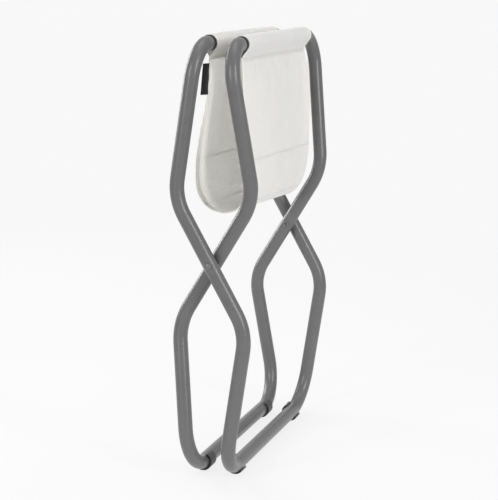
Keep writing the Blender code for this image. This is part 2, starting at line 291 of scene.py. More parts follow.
def woven_canvas(name, colour, shade, pitch=1.25 * MM, rib=0.28, through=0.0):
    """Plain-woven outdoor canvas with slubs and a faint slanting rib. Its UVs are metres of cloth."""
    n = Nodes(name)
    place = n.coordinates("UV")
    height, split = threads(n, place, pitch)
    slub_across = n.noise(n.scaled(place, (90.0, 1100.0, 1.0)), 1.0, 2.0, 0.6)
    slub_along = n.noise(n.scaled(place, (1100.0, 90.0, 1.0)), 1.0, 2.0, 0.6)
    slubs = n.math("MULTIPLY", n.math("ADD", slub_across, slub_along), 0.5)
    slant = n.math("SUBTRACT", n.math("MULTIPLY", split.outputs["X"], 560.0),
                   n.math("MULTIPLY", split.outputs["Y"], 1100.0))
    ribs = n.math("ADD", n.math("MULTIPLY", n.math("SINE", slant), 0.5), 0.5)
    cloud = n.noise(place, 22.0, 3.0, 0.55)
    light = n.mix(n.ramp(cloud, (0.30, 0.0), (0.75, 1.0)), colour, tuple(c * 0.95 for c in colour))
    dyed = n.mix(n.ramp(slubs, (0.36, 0.0), (0.66, 0.55)), light, shade)
    holes = n.ramp(height, (0.25, 0.50), (0.75, 0.0))
    woven = n.mix(holes, dyed, tuple(c * 0.72 for c in shade))
    n.set(Base_Color=n.mix(n.math("MULTIPLY", ribs, rib), woven, tuple(c * 0.88 for c in shade)))
    n.set(Roughness=n.ramp(slubs, (0.2, 0.80), (0.8, 0.96)))
    n.set(Sheen_Weight=0.22, Sheen_Roughness=0.45, Specular_IOR_Level=0.25)
    n.set(Subsurface_Weight=through, Subsurface_Scale=4.0 * MM, Subsurface_Radius=(1.0, 1.0, 1.0))
    deep = n.bump(n.math("ADD", n.math("MULTIPLY", ribs, rib), slubs), 0.00035, 0.55)
    n.set(Normal=n.bump(height, 0.00032, 0.60, deep))
    return n.material


def sewing_thread(name, colour):
    """Twisted thread."""
    n = Nodes(name)
    place = n.coordinates("Object")
    twist = n.node("ShaderNodeTexWave", bands_direction="DIAGONAL")
    n.link(place, twist.inputs["Vector"])
    twist.inputs["Scale"].default_value = 900.0
    fluff = n.noise(place, 2600.0, 2.0, 0.6)
    n.set(Base_Color=n.mix(n.ramp(fluff, (0.3, 0.0), (0.8, 0.6)), colour, tuple(c * 0.8 for c in colour)))
    n.set(Roughness=0.75, Sheen_Weight=0.3)
    n.set(Normal=n.bump(twist.outputs["Fac"], 0.0001, 0.5))
    return n.material


# ---------------------------------------------------------------- mesh helpers


def piece(name, points, faces, look, uvs=None, sharp=40.0):
    """A smooth-shaded object from points and faces. uvs holds one pair for each point."""
    mesh = bpy.data.meshes.new(name)
    mesh.from_pydata([tuple(p) for p in points], [], faces)
    if uvs is not None:
        corner = np.zeros(len(mesh.loops), np.int32)
        mesh.loops.foreach_get("vertex_index", corner)
        layer = mesh.uv_layers.new(name="UVMap")
        layer.data.foreach_set("uv", np.asarray(uvs, np.float32)[corner].ravel())
    mesh.shade_smooth()
    mesh.set_sharp_from_angle(angle=math.radians(sharp))
    mesh.materials.append(look)
    made = bpy.data.objects.new(name, mesh)
    bpy.context.collection.objects.link(made)
    return made


def strips(rings, count, closed=True):
    """Quads between rows of points, with each row a closed ring unless closed is False."""
    faces = []
    last = count if closed else count - 1
    for i in range(rings - 1):
        for k in range(last):
            j = (k + 1) % count
            faces.append((i * count + k, i * count + j, (i + 1) * count + j, (i + 1) * count + k))
    return faces


def rounded_path(corners, radii):
    """Points along a line whose inner corners are turned by arcs, and each point's bend."""
    points = [corners[0]]
    bends = [0.0]
    for before, corner, after, radius in zip(corners, corners[1:], corners[2:], radii):
        back = (before - corner).normalized()
        on = (after - corner).normalized()
        turn = math.pi - back.angle(on)
        centre = corner + (back + on).normalized() * radius / math.cos(turn / 2)
        reach = radius * math.tan(turn / 2)
        first = corner + back * reach - centre
        axis = first.cross(corner + on * reach - centre).normalized()
        steps = math.ceil(turn / BEND_STEP)
        for i in range(steps + 1):
            points.append(centre + Quaternion(axis, turn * i / steps) @ first)
            bends.append(max(0.0, math.sin(math.pi * i / steps)) ** 0.6 * ELBOW_RADIUS / radius)
    points.append(corners[-1])
    bends.append(0.0)
    kept = [0]
    for i in range(1, len(points)):
        if (points[i] - points[kept[-1]]).length > GAP:
            kept.append(i)
    return [points[i] for i in kept], [bends[i] for i in kept]


def subdivided(points, bends, near, reach, step):
    """Adds points to the straight runs that pass within reach of a point."""
    out, out_bends = [points[0]], [bends[0]]
    for a, b, bend in zip(points, points[1:], bends[1:]):
        run = b - a
        share = max(0.0, min(1.0, (near - a).dot(run) / run.length_squared))
        if run.length > 4 * step and (a + run * share - near).length < reach * 2:
            low = max(0.0, share - reach / run.length)
            high = min(1.0, share + reach / run.length)
            count = math.ceil((high - low) * run.length / step)
            for i in range(count + 1):
                at = low + (high - low) * i / count
                if 0.001 < at < 0.999:
                    out.append(a + run * at)
                    out_bends.append(0.0)
        out.append(b)
        out_bends.append(bend)
    return out, out_bends


def swept_tube(path, bends, radius, flatten=0.0):
    """Rings of points along a path, drawn a little flat in its bends."""
    rings = []
    before = (path[1] - path[0]).normalized()
    side = before.orthogonal().normalized()
    for i, centre in enumerate(path):
        behind = path[max(i - 1, 0)]
        beyond = path[min(i + 1, len(path) - 1)]
        ahead = (beyond - behind).normalized()
        side = before.rotation_difference(ahead) @ side
        other = ahead.cross(side)
        inward = (behind - centre).normalized() + (beyond - centre).normalized()
        for k in range(TUBE_SIDES):
            angle = 2 * math.pi * k / TUBE_SIDES
            out = math.cos(angle) * side + math.sin(angle) * other
            if bends[i] and inward.length > 1e-4:
                towards = inward.normalized()
                out = out - towards * out.dot(towards) * flatten * bends[i]
            rings.append(centre + out * radius)
        before = ahead
    return rings


def tube_piece(name, path, bends, look, flatten=0.0):
    """An open tube with its wall shown at both ends."""
    outside = swept_tube(path, bends, TUBE_RADIUS, flatten)
    inside = swept_tube(path, bends, TUBE_RADIUS - TUBE_WALL, flatten)
    rows, sides = len(path), TUBE_SIDES
    faces = strips(rows, sides)
    start = rows * sides
    faces += [tuple(start + v for v in reversed(face)) for face in strips(rows, sides)]
    for row, flip in ((0, True), (rows - 1, False)):
        for k in range(sides):
            j = (k + 1) % sides
            face = (row * sides + k, row * sides + j, start + row * sides + j, start + row * sides + k)
            faces.append(tuple(reversed(face)) if flip else face)
    return piece(name, outside + inside, faces, look)


def turned(name, profile, centre, direction, look, segments=48, sharp=32.0):
    """Turns a profile of (distance along X, radius) about the X line through centre."""
    points, faces, rings = [], [], []
    for along, radius in profile:
        at = Vector(centre) + Vector((direction * along, 0, 0))
        ring = []
        for k in range(segments if radius else 1):
            angle = 2 * math.pi * k / segments
            ring.append(len(points))
            points.append(at + Vector((0, radius * math.cos(angle), radius * math.sin(angle))))
        rings.append(ring)
    pairs = list(zip(rings, rings[1:]))
    if profile[0][1]:
        pairs.append((rings[-1], rings[0]))
    for a, b in pairs:
        for k in range(segments):
            j = (k + 1) % segments
            if len(a) == 1:
                face = (a[0], b[j], b[k])
            elif len(b) == 1:
                face = (a[k], a[j], b[0])
            else:
                face = (a[k], a[j], b[j], b[k])
            faces.append(face if direction < 0 else tuple(reversed(face)))
    return piece(name, points, faces, look, sharp=sharp)


def fitted(made, body, slot, *nodes):
    """Sets what a finished rigid piece rides on and hides the CAD nodes it stands for. Its slot, the finish,
    is not used.
    """
    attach(made, body)
    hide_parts(*nodes)
    return made


# ---------------------------------------------------------------- frame


def bent_frame(name, body, node, bar_side, half_width, waist, elbow_end, look):
    right_leg = [
        Vector((elbow_end, bar_side * BAR_OUT, BAR_RISE)),
        Vector((half_width, bar_side * BAR_OUT, BAR_RISE)),
        Vector((waist, bar_side * KNEE_OUT, KNEE_RISE)),
        Vector((waist, -bar_side * KNEE_OUT, -KNEE_RISE)),
        Vector((half_width, -bar_side * BAR_OUT, -BAR_RISE)),
    ]
    left_leg = [Vector((-p.x, p.y, p.z)) for p in reversed(right_leg)]
    corners = [PIVOT + p for p in right_leg + left_leg]
    radii = [ELBOW_RADIUS, KNEE_RADIUS, KNEE_RADIUS, CORNER_RADIUS]
    path, bends = rounded_path(corners, radii + radii[::-1])
    for side in (RIGHT, LEFT):
        crossing = PIVOT + Vector((side * waist, 0, 0))
        path, bends = subdivided(path, bends, crossing, DIMPLE_RUN, DIMPLE_STEP)
    for side in (RIGHT, LEFT):
        end = PIVOT + Vector((side * elbow_end, bar_side * BAR_OUT, BAR_RISE))
        path, bends = subdivided(path, bends, end, ELBOW_TAPER_LENGTH, ELBOW_STEP)
    made = tube_piece(name, path, bends, look, BEND_FLATTENING)
    axis = PIVOT + Vector((0, bar_side * BAR_OUT, BAR_RISE))
    for vertex in made.data.vertices:
        past = abs(vertex.co.x) - elbow_end
        if vertex.co.z > axis.z - 0.02 and past < ELBOW_TAPER_LENGTH:
            off = Vector((0, vertex.co.y - axis.y, vertex.co.z - axis.z))
            share = 1 - max(past, 0.0) / ELBOW_TAPER_LENGTH
            vertex.co -= off.normalized() * ELBOW_TAPER * share * share
            vertex.co.z -= ELBOW_DROOP * share * share
        from_rivet = math.hypot(vertex.co.y - PIVOT.y, vertex.co.z - PIVOT.z)
        if from_rivet < DIMPLE_REACH:
            centre = math.copysign(waist, vertex.co.x)
            depth = RIVET_DIMPLE * 0.5 * (1 + math.cos(math.pi * from_rivet / DIMPLE_REACH))
            vertex.co.x -= math.copysign(depth, vertex.co.x - centre)
    return fitted(made, body, "frame_paint", node)


def top_bar(frame_name, bar_side, elbow_end, look):
    half = elbow_end - COLLAR_LENGTH - 2 * GAP
    height = PIVOT.z + BAR_RISE
    path = [Vector((x, bar_side * BAR_OUT, height)) for x in (-half, half)]
    made = tube_piece(frame_name + "_bar", path, [0.0, 0.0], look)
    return fitted(made, frame_name + "_frame", "frame_paint", frame_name + "_top_bar")


def plug(frame_name, bar_side, hand, side, elbow_end, look):
    centre = Vector((0, bar_side * BAR_OUT, PIVOT.z + BAR_RISE))
    collar_out = elbow_end - GAP
    collar_in = collar_out - COLLAR_LENGTH
    soft = 0.0003
    profile = [
        (collar_in - 0.0250, 0),
        (collar_in - 0.0250, 0.0080),
        (collar_in - 0.0240, 0.0090),
        (collar_in - 0.0002, 0.0090),
        (collar_in - 0.0002, TUBE_RADIUS + 0.0001),
        (collar_in - COLLAR_LIP, TUBE_RADIUS + 0.0001),
        (collar_in - COLLAR_LIP, COLLAR_RADIUS - soft * 0.5),
        (collar_in - COLLAR_LIP + soft, COLLAR_RADIUS),
        (collar_out - soft, COLLAR_RADIUS),
        (collar_out - soft * 0.3, COLLAR_RADIUS - soft * 0.3),
        (collar_out, COLLAR_RADIUS - soft),
        (collar_out, 0.0084),
        (collar_out + 0.0060, 0.0084),
        (collar_out + 0.0070, 0.0074),
        (collar_out + 0.0070, 0),
    ]
    made = turned(f"{frame_name}_collar_{hand}", profile, centre, side, look)
    return fitted(made, frame_name + "_frame", "black_plastic", f"{frame_name}_plug_{hand}")


def rivet(hand, side, look):
    head_face = OUTER_HALF_WIDTH + TUBE_RADIUS + GAP - RIVET_DIMPLE * 0.5
    tail_face = INNER_WAIST - TUBE_RADIUS - GAP + RIVET_DIMPLE * 0.5
    tail_end = tail_face - TAIL_LENGTH
    profile = [
        (tail_end + 0.0024, 0),
        (tail_end + 0.0022, TAIL_BORE * 0.6),
        (tail_end + 0.0016, TAIL_BORE),
        (tail_end + 0.0004, TAIL_BORE + 0.0002),
    ]
    for i in range(9):
        angle = math.pi * i / 8
        profile.append((tail_end + 0.0010 - 0.0010 * math.sin(angle),
                        TAIL_BORE + 0.0012 - 0.0010 * math.cos(angle) + 0.0001 * i))
    profile += [
        (tail_face, TAIL_RADIUS),
        (tail_face, SHANK_RADIUS),
        (head_face, SHANK_RADIUS),
        (head_face, HEAD_RADIUS - 0.0002),
        (head_face + 0.0002, HEAD_RADIUS),
        (head_face + 0.0005, HEAD_RADIUS),
    ]
    steps = 9
    for i in range(1, steps):
        angle = math.pi / 2 * i / steps
        profile.append((head_face + 0.0005 + (HEAD_HEIGHT - 0.0005) * math.sin(angle),
                        HEAD_RADIUS * math.cos(angle)))
    profile.append((head_face + HEAD_HEIGHT, 0))
    made = turned(f"rivet_{hand}_fine", profile, PIVOT, side, look)
    return fitted(made, "rivets", "rivet_paint", f"rivet_{hand}")


def washer(hand, side, look):
    near = INNER_WAIST + TUBE_RADIUS - 0.0002
    far = OUTER_HALF_WIDTH - TUBE_RADIUS + 0.0002
    soft = 0.0003
    profile = [
        (near, HOLE_RADIUS),
        (near, WASHER_RADIUS - soft),
        (near + soft, WASHER_RADIUS),
        (far - soft, WASHER_RADIUS),
        (far, WASHER_RADIUS - soft),
        (far, HOLE_RADIUS),
    ]
    made = turned(f"washer_{hand}_fine", profile, PIVOT, side, look)
    return fitted(made, "rivets", "black_plastic", f"washer_{hand}")


def around_bar(bar_side, angle, radius):
    """A point around a bottom bar, by its angle from straight down towards the middle of the stool."""
    return Vector((0, bar_side * (radius * math.sin(angle) - BAR_OUT), BASE - radius * math.cos(angle)))


def glide(frame_name, bar_side, hand, side, look):
    """A moulded clip with soft edges that follows the bar into its bend."""
    flats = [OPEN_ANGLE * i for i in range(-1, 4)]
    first = flats[0] - GLIDE_TIP_ANGLE
    last = flats[-1] + GLIDE_TIP_ANGLE

    def outer_radius(angle):
        off = min(abs(flat - angle) for flat in flats)
        if angle < flats[0] or angle > flats[-1]:
            share = 1 - math.cos(off / GLIDE_TIP_ANGLE * math.pi / 2)
            return GLIDE_OUTER_RADIUS + (GLIDE_TIP_RADIUS - GLIDE_OUTER_RADIUS) * share
        return GLIDE_OUTER_RADIUS / math.cos(min(off, GLIDE_FLAT_HALF_ANGLE))

    def bar_rise(x):
        corner = OUTER_HALF_WIDTH if bar_side == BACK else INNER_HALF_WIDTH - SLANTED_LEG_REACH
        arc_start = corner - CORNER_RADIUS
        return max(0.0, abs(x) - arc_start) ** 2 / (2 * CORNER_RADIUS)

    steps = 84
    angles = [first + (last - first) * i / steps for i in range(steps + 1)]
    soft = 0.0007
    half = GLIDE_LENGTH / 2
    stations = [(-half, soft), (-half + 0.0003, soft * 0.35), (-half + soft, 0.0)]
    stations += [(half * share, 0.0) for share in (-0.6, -0.3, 0.0, 0.3, 0.6)]
    stations += [(half - soft, 0.0), (half - 0.0003, soft * 0.35), (half, soft)]
    points = []
    for x, drop in stations:
        along = side * GLIDE_CENTRE + x
        place = Vector((along, 0, bar_rise(along)))
        for angle in angles:
            points.append(place + around_bar(bar_side, angle, outer_radius(angle) - drop))
        for angle in reversed(angles):
            points.append(place + around_bar(bar_side, angle, GLIDE_INNER_RADIUS))
    count = 2 * len(angles)
    faces = strips(len(stations), count)
    for row in (0, len(stations) - 1):
        for k in range(len(angles) - 1):
            face = (row * count + k, row * count + k + 1,
                    row * count + count - 2 - k, row * count + count - 1 - k)
            faces.append(face if row else tuple(reversed(face)))
    if bar_side == FRONT:
        faces = [tuple(reversed(face)) for face in faces]
    made = piece(f"{frame_name}_foot_{hand}", points, faces, look, sharp=50.0)
    return fitted(made, frame_name + "_frame", "black_plastic", f"{frame_name}_glide_{hand}")


# ---------------------------------------------------------------- sling


def bezier(start, handle_a, handle_b, end, share):
    rest = 1 - share
    return (rest ** 3 * start + 3 * rest ** 2 * share * handle_a
            + 3 * rest * share ** 2 * handle_b + share ** 3 * end)


def half_loop(belly, bottom, lean, fullness=(0.58, 0.58)):
    """Half of the loop, as points (out, height) from a top bar's axis to the middle below, with distances."""
    top, belly, bottom = Vector((BAR_OUT, 2 * BAR_RISE)), Vector(belly), Vector((0, bottom))
    drop = fullness[0] * (belly.y - bottom.y)
    upper = (top, top + Vector((lean, -HANDLE)), belly + Vector((0, HANDLE)), belly)
    lower = (belly, belly - Vector((0, drop)), bottom + Vector((fullness[1] * belly.x, 0)), bottom)
    line = [bezier(*upper, i / CURVE_STEPS) for i in range(CURVE_STEPS)]
    line += [bezier(*lower, i / CURVE_STEPS) for i in range(CURVE_STEPS + 1)]
    points = np.array([tuple(p) for p in line])
    lengths = np.concatenate([[0.0], np.cumsum(np.linalg.norm(np.diff(points, axis=0), axis=1))])
    return points, lengths


# The plain profile, which the sleeves keep to, and how the cloth hangs at the loop's two open ends
PLAIN = half_loop((0.043, 0.451), 0.385, LEAN)
TOTAL = float(PLAIN[1][-1])
HUNG = {
    (BACK, LEFT): half_loop((0.0464, 0.4470), 0.3900, -0.0100, (0.78, 0.46)),
    (BACK, RIGHT): half_loop((0.0350, 0.4500), 0.3735, LEAN),
    (FRONT, LEFT): half_loop((0.0400, 0.4460), 0.3900, LEAN, (0.72, 0.58)),
    (FRONT, RIGHT): half_loop((0.0402, 0.4600), 0.3735, 0.0150),
}


def at_share(half, share):
    points, lengths = half
    return np.stack([np.interp(share * lengths[-1], lengths, points[:, i]) for i in (0, 1)], axis=-1)


def on_line(bar_side, x, distance):
    """(out, height) of the cloth at distances down from a bar, across its width."""
    x, distance = np.broadcast_arrays(np.asarray(x, float), np.asarray(distance, float))
    share = distance / TOTAL
    plain = at_share(PLAIN, share)
    across = np.clip(0.5 + x / (2 * INNER_SLEEVE_HALF), 0, 1)[..., None]
    left, right = (at_share(HUNG[bar_side, side], share) for side in (LEFT, RIGHT))
    hung = left * (1 - across) + right * across
    return plain + smooth_step(distance, SLEEVE_END, 55 * MM)[..., None] * (hung - plain)


def line_normal(bar_side, x, distance):
    """Unit normals pointing out of the loop."""
    probe = 1.5 * MM
    distance = np.broadcast_to(np.asarray(distance, float), np.shape(x))
    ahead = on_line(bar_side, x, np.minimum(distance + probe, TOTAL))
    run = ahead - on_line(bar_side, x, np.maximum(distance - probe, 0.0))
    run = np.where((distance > TOTAL - 0.01 * MM)[..., None], [-1.0, 0.0], run)
    run = run / np.linalg.norm(run, axis=-1)[..., None]
    return np.stack([-run[..., 1], run[..., 0]], axis=-1)


def smooth_step(value, low, high):
    share = np.clip((value - low) / (high - low), 0, 1)
    return share * share * (3 - 2 * share)


def half_width(bar_side, distance):
    start = OUTER_SLEEVE_HALF if bar_side == BACK else INNER_SLEEVE_HALF
    middle = (OUTER_SLEEVE_HALF + INNER_SLEEVE_HALF) / 2
    return start + (middle - start) * np.clip(distance, 0, TOTAL) / TOTAL


def drape(bar_side, x, distance):
    """How far the hanging cloth stands off its plain profile: puckers under the seam, and slow waves."""
    phase = 0.7 if bar_side == BACK else 2.1
    fade = np.exp(-np.clip(distance - 36.0 * MM, 0, 1) / (42.0 * MM))
    under_seam = smooth_step(distance, 21.0 * MM, 36.0 * MM) * fade
    pucker = (np.sin(x * 330 + phase) * 0.50 + np.sin(x * 520 + 1.9 * phase) * 0.32
              + np.sin(x * 190 + 0.4 * phase) * 0.45)
    calm = 1 - smooth_step(distance, 215.0 * MM, 262.0 * MM)
    wave = (np.sin(x * 41 + distance * 17 + phase) * 0.7
            + np.sin(x * 73 - distance * 29 + 2.3 * phase) * 0.35)
    wave = wave * smooth_step(distance, 30 * MM, 90 * MM) * calm
    return (pucker * under_seam * 1.15 + wave) * MM


def sleeve_slack(bar_side, x, turn):
    """How far the sleeve stands off its round profile. turn runs from 0 to 1 over the bar."""
    phase = 0.4 if bar_side == BACK else 1.7
    over = np.sin(np.pi * np.clip(turn, 0, 1))
    ripple = np.sin(x * 58 + phase) * 0.32 + np.sin(x * 121 + 2.2 * phase) * 0.20
    if bar_side == FRONT:
        rise = np.exp(-((x - 0.118) / 0.018) ** 2) * 0.55
    else:
        rise = -np.exp(-((x - 0.145) / 0.05) ** 2) * 1.1
    return (ripple + rise - 0.15) * over * MM


def cross_section(hem_inside):
    """One row of the cloth, from right to left over its outside and back along its inside.

    Each point is (kind, value, offset): kind "edge" is a distance from the right (+) or left (-) edge,
    and "middle" a share of the width between the hems. Offset is along the normal.
    """
    half = CLOTH / 2
    fold = (CLOTH + hem_inside) / 2
    low_mid = half - fold
    edges = [1.6, 3.0, 5.0, 7.0, 8.8, 9.6, 10.0, 10.4, 10.8, 11.2, 11.7, 12.1, 12.5, 13.2]
    middles = [1 - 2 * i / 84 for i in range(85)]
    outer, inner = [], []
    for degrees in (14, 42, 70):
        angle = math.radians(degrees)
        distance = fold * (1 - math.cos(angle))
        outer.append((1, distance, low_mid + fold * math.sin(angle)))
        inner.append((1, distance, low_mid - fold * math.sin(angle)))
    for edge in edges:
        distance = edge * MM
        groove = 0.18 * MM * math.exp(-((distance - HEM_STITCH) / (0.45 * MM)) ** 2)
        folded = hem_inside * (1 - float(smooth_step(distance, 11.7 * MM, 12.1 * MM)))
        outer.append((1, distance, half - groove))
        inner.append((1, distance, -half - folded + groove))
    outer_all = outer + [(0, share, half) for share in middles] + [(-1, d, o) for _, d, o in reversed(outer)]
    inner_all = inner + [(0, share, -half) for share in middles] + [(-1, d, o) for _, d, o in reversed(inner)]
    return outer_all + inner_all[::-1]


def row_x(section, width):
    """Positions along X of one row's points for a half-width."""
    inside = width - 14.0 * MM
    places = [value * inside if kind == 0 else kind * (width - value) for kind, value, _ in section]
    return np.array(places) + CLOTH_SLIDE


def cloth_piece(name, rows, bar_side, look):
    """A closed sheet from rows of (points in (x, out, height), cloth coordinate)."""
    count = len(rows[0][0])
    points = np.concatenate([row for row, _ in rows])
    world = np.stack([points[:, 0], bar_side * points[:, 1], BASE + points[:, 2]], axis=1)
    uvs = np.concatenate([np.stack([row[:, 0], np.full(count, place)], axis=1) for row, place in rows])
    faces = strips(len(rows), count)
    for row in (0, len(rows) - 1):
        for k in range(count // 2 - 1):
            face = (row * count + k, row * count + k + 1,
                    row * count + count - 2 - k, row * count + count - 1 - k)
            faces.append(face if row else tuple(reversed(face)))
    if bar_side == BACK:
        faces = [tuple(reversed(face)) for face in faces]
    return piece(name, world, faces, look, uvs=uvs, sharp=62.0)


def cloth_coordinate(bar_side, distance):
    """Position along the whole loop, so that the weave runs on through its pieces."""
    return distance if bar_side == BACK else 2 * TOTAL - distance


def panel_rows(bar_side, start, end, step):
    section = cross_section(CLOTH)
    offsets = np.array([offset for _, _, offset in section])
    distances = np.linspace(start, end, math.ceil((end - start) / step) + 1)
    rows = []
    for distance in distances:
        x = row_x(section, float(half_width(bar_side, distance)))
        off = offsets + drape(bar_side, x, distance)
        place = on_line(bar_side, x, distance) + line_normal(bar_side, x, distance) * off[:, None]
        rows.append((np.column_stack([x, place]), cloth_coordinate(bar_side, distance)))
    return rows


def sleeve_profile():
    """The sleeve's middle line: up the outside, over the bar and down to the folded edge inside.

    Its points are (out, height) from the bar's axis, returned with the distance along the line to each.
    """
    axis = np.array([BAR_OUT, 2 * BAR_RISE])
    up = np.linspace(SLEEVE_END, SEAM - 0.5 * MM, LEAD_POINTS)
    raw = [tuple(p - axis) for p in on_line(BACK, 0.0, up)]
    start = raw[-1]
    lean = math.acos(SLEEVE_RADIUS / math.hypot(*start))
    for i in range(1, 5):
        share = i / 5
        end = (SLEEVE_RADIUS * math.sin(lean), -SLEEVE_RADIUS * math.cos(lean))
        raw.append((start[0] + (end[0] - start[0]) * share, start[1] + (end[1] - start[1]) * share))
    steps = 40
    for i in range(steps + 1):
        angle = lean + (2 * math.pi - 2 * lean) * i / steps
        raw.append((SLEEVE_RADIUS * math.sin(angle), -SLEEVE_RADIUS * math.cos(angle)))
    last = np.array(raw[-1])
    meet = on_line(BACK, 0.0, SEAM - 1.5 * MM) - axis - np.array([RETURN_OFFSET, 0])
    for i in range(1, 5):
        raw.append(tuple(last + (meet - last) * i / 4))
    for distance in (20.5, 22.0, 23.2, 23.8, 24.1, 24.2):
        raw.append(tuple(on_line(BACK, 0.0, distance * MM) - axis - np.array([RETURN_OFFSET, 0])))
    line = np.array(raw)
    for _ in range(2):
        eased = line.copy()
        eased[5:-4] = (line[4:-5] + 2 * line[5:-4] + line[6:-3]) / 4
        line = eased
    runs = np.concatenate([[0.0], np.cumsum(np.linalg.norm(np.diff(line, axis=0), axis=1))])
    return line, runs


def sleeve_rows(bar_side, sleeve_half):
    line, runs = sleeve_profile()
    ahead = np.concatenate([line[1:], line[-1:]]) - np.concatenate([line[:1], line[:-1]])
    ahead /= np.linalg.norm(ahead, axis=1)[:, None]
    normals = np.stack([ahead[:, 1], -ahead[:, 0]], axis=1)
    normals[0] = line_normal(BACK, 0.0, SLEEVE_END)
    plain = np.array([offset for _, _, offset in cross_section(0.0)])
    hemmed = np.array([offset for _, _, offset in cross_section(CLOTH)])
    section = cross_section(CLOTH)
    inner = np.arange(len(section)) >= len(section) // 2
    rows = []
    around = (runs - runs[LEAD_POINTS]) / (runs[-RETURN_POINTS] - runs[LEAD_POINTS])
    for i, (centre, normal) in enumerate(zip(line, normals)):
        leading = i < LEAD_POINTS
        returning = i >= len(line) - RETURN_POINTS
        if leading:
            distance = SLEEVE_END - runs[i]
            hem = 0.5 + 0.5 * float(smooth_step(distance, 21.5 * MM, SLEEVE_END))
        elif returning:
            hem = 0.3
        else:
            hem = 0.5 + 0.35 * math.sin(math.pi * float(np.clip(around[i], 0, 1)))
            hem = min(hem, 0.3 + 0.9 * float(1 - around[i]) + 0.2) if around[i] > 0.5 else hem
        x = row_x(section, float(half_width(bar_side, SLEEVE_END - runs[i] if leading else 0.0)))
        off = plain + (hemmed - plain) * hem
        if leading:
            off = off + drape(bar_side, x, SLEEVE_END - runs[i])
        else:
            off = off + sleeve_slack(bar_side, x, around[i])
        if returning:
            side_hem = np.clip((np.abs(x - CLOTH_SLIDE) - (sleeve_half - HEM)) / (0.5 * MM), 0, 1)
            off = np.where(inner, off - 0.65 * MM * (1 - side_hem), off)
        close = {len(line) - 1: 0.35, len(line) - 2: 0.8}.get(i, 1.0)
        middle = off[inner].mean() * 0.5 + off[~inner].mean() * 0.5
        off = middle + (off - middle) * close
        place = centre + np.array([BAR_OUT, 2 * BAR_RISE])
        row = np.stack([x, place[0] + normal[0] * off, place[1] + normal[1] * off], axis=1)
        rows.append((row, cloth_coordinate(bar_side, SLEEVE_END - runs[i])))
    return rows


def stitch(centre, along, normal, length=STITCH_LENGTH):
    """One stitch: a small bead of thread, bowed over the cloth."""
    sides, rings = 6, ((-0.50, 0.25), (-0.40, 0.75), (-0.15, 1.0), (0.15, 1.0), (0.40, 0.75), (0.50, 0.25))
    along = along / np.linalg.norm(along)
    across = np.cross(along, normal)
    points = []
    for at, size in rings:
        lift = 0.22 * MM * (1 - (2 * at) ** 2)
        for k in range(sides):
            angle = 2 * math.pi * k / sides
            rise = lift + STITCH_RADIUS * 0.8 * size * math.sin(angle)
            spread = STITCH_RADIUS * size * math.cos(angle)
            points.append(centre + along * at * length + normal * rise + across * spread)
    faces = strips(len(rings), sides)
    faces.append(tuple(reversed(range(sides))))
    faces.append(tuple(range((len(rings) - 1) * sides, len(rings) * sides)))
    return points, faces


def stitching(name, stitches, look):
    points, faces = [], []
    for found, quads in stitches:
        start = len(points)
        points += found
        faces += [tuple(start + v for v in face) for face in quads]
    return piece(name, points, faces, look)


def hem_stitches(bar_side, start, end):
    """Stitches down both hems, outside and inside."""
    made = []
    first = math.ceil((start + 0.6 * STITCH_LENGTH) / STITCH_PITCH)
    last = math.floor((end - 0.6 * STITCH_LENGTH) / STITCH_PITCH)
    for i in range(first, last + 1):
        distance = i * STITCH_PITCH
        width = float(half_width(bar_side, distance))
        for side in (RIGHT, LEFT):
            x = side * (width - HEM_STITCH) + CLOTH_SLIDE
            centre = on_line(bar_side, x, distance)
            normal = line_normal(bar_side, x, distance)
            lift = float(drape(bar_side, np.array([x]), distance)[0])
            for face, height in ((1, CLOTH / 2 - 0.16 * MM), (-1, -1.5 * CLOTH + 0.16 * MM)):
                at = centre + normal * (height + lift)
                out = np.array([0, bar_side * normal[0], normal[1]]) * face
                along = np.array([0, -bar_side * normal[1], normal[0]])
                made.append(stitch(np.array([x, bar_side * at[0], BASE + at[1]]), along, out))
    return made


def seam_stitches(bar_side, sleeve_half):
    """Stitches along the sleeve's seam, through both its layers."""
    made = []
    centre = on_line(bar_side, 0.0, 22.0 * MM)
    normal = line_normal(bar_side, 0.0, 22.0 * MM)
    count = math.floor((2 * sleeve_half - 4 * MM) / STITCH_PITCH)
    for i in range(count + 1):
        x = (i - count / 2) * STITCH_PITCH + CLOTH_SLIDE
        for face, height in ((1, CLOTH / 2 - 0.02 * MM), (-1, -RETURN_OFFSET - CLOTH / 2 + 0.02 * MM)):
            lift = float(drape(bar_side, np.array([x]), 22.0 * MM)[0]) if face > 0 else 0.0
            at = centre + normal * (height + lift)
            out = np.array([0, bar_side * normal[0], normal[1]]) * face
            made.append(stitch(np.array([x, bar_side * at[0], BASE + at[1]]), np.array([1.0, 0, 0]), out))
    return made


def sling_half(frame_name, bar_side, sleeve_half, canvas, thread):
    sling = frame_name + "_sling_"
    cuff = cloth_piece(frame_name + "_sleeve_cloth", sleeve_rows(bar_side, sleeve_half), bar_side, canvas)
    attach(cuff, sling + "upper")
    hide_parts(frame_name + "_sleeve")
    seam = stitching(frame_name + "_seam_thread", seam_stitches(bar_side, sleeve_half), thread)
    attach(seam, sling + "upper")
    wrap = float(sleeve_profile()[1][-1])
    spans = (
        ("upper", "middle", SLEEVE_END, MIDDLE_START, sling + "upper"),
        ("middle", "lower", MIDDLE_START, LOWER_START, sling + "middle"),
        ("lower", "bottom", LOWER_START, TOTAL, sling + "lower"),
    )
    for above, below, start, end, stands_for in spans:
        rows = panel_rows(bar_side, start, end, PANEL_STEP)
        panel = cloth_piece(f"{frame_name}_panel_{above}", rows, bar_side, canvas)
        hems = stitching(f"{frame_name}_hem_thread_{above}", hem_stitches(bar_side, start, end), thread)
        for made in (panel, hems):
            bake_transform(made)
        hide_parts(stands_for)
        if below == "bottom":
            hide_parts(sling + "bottom")


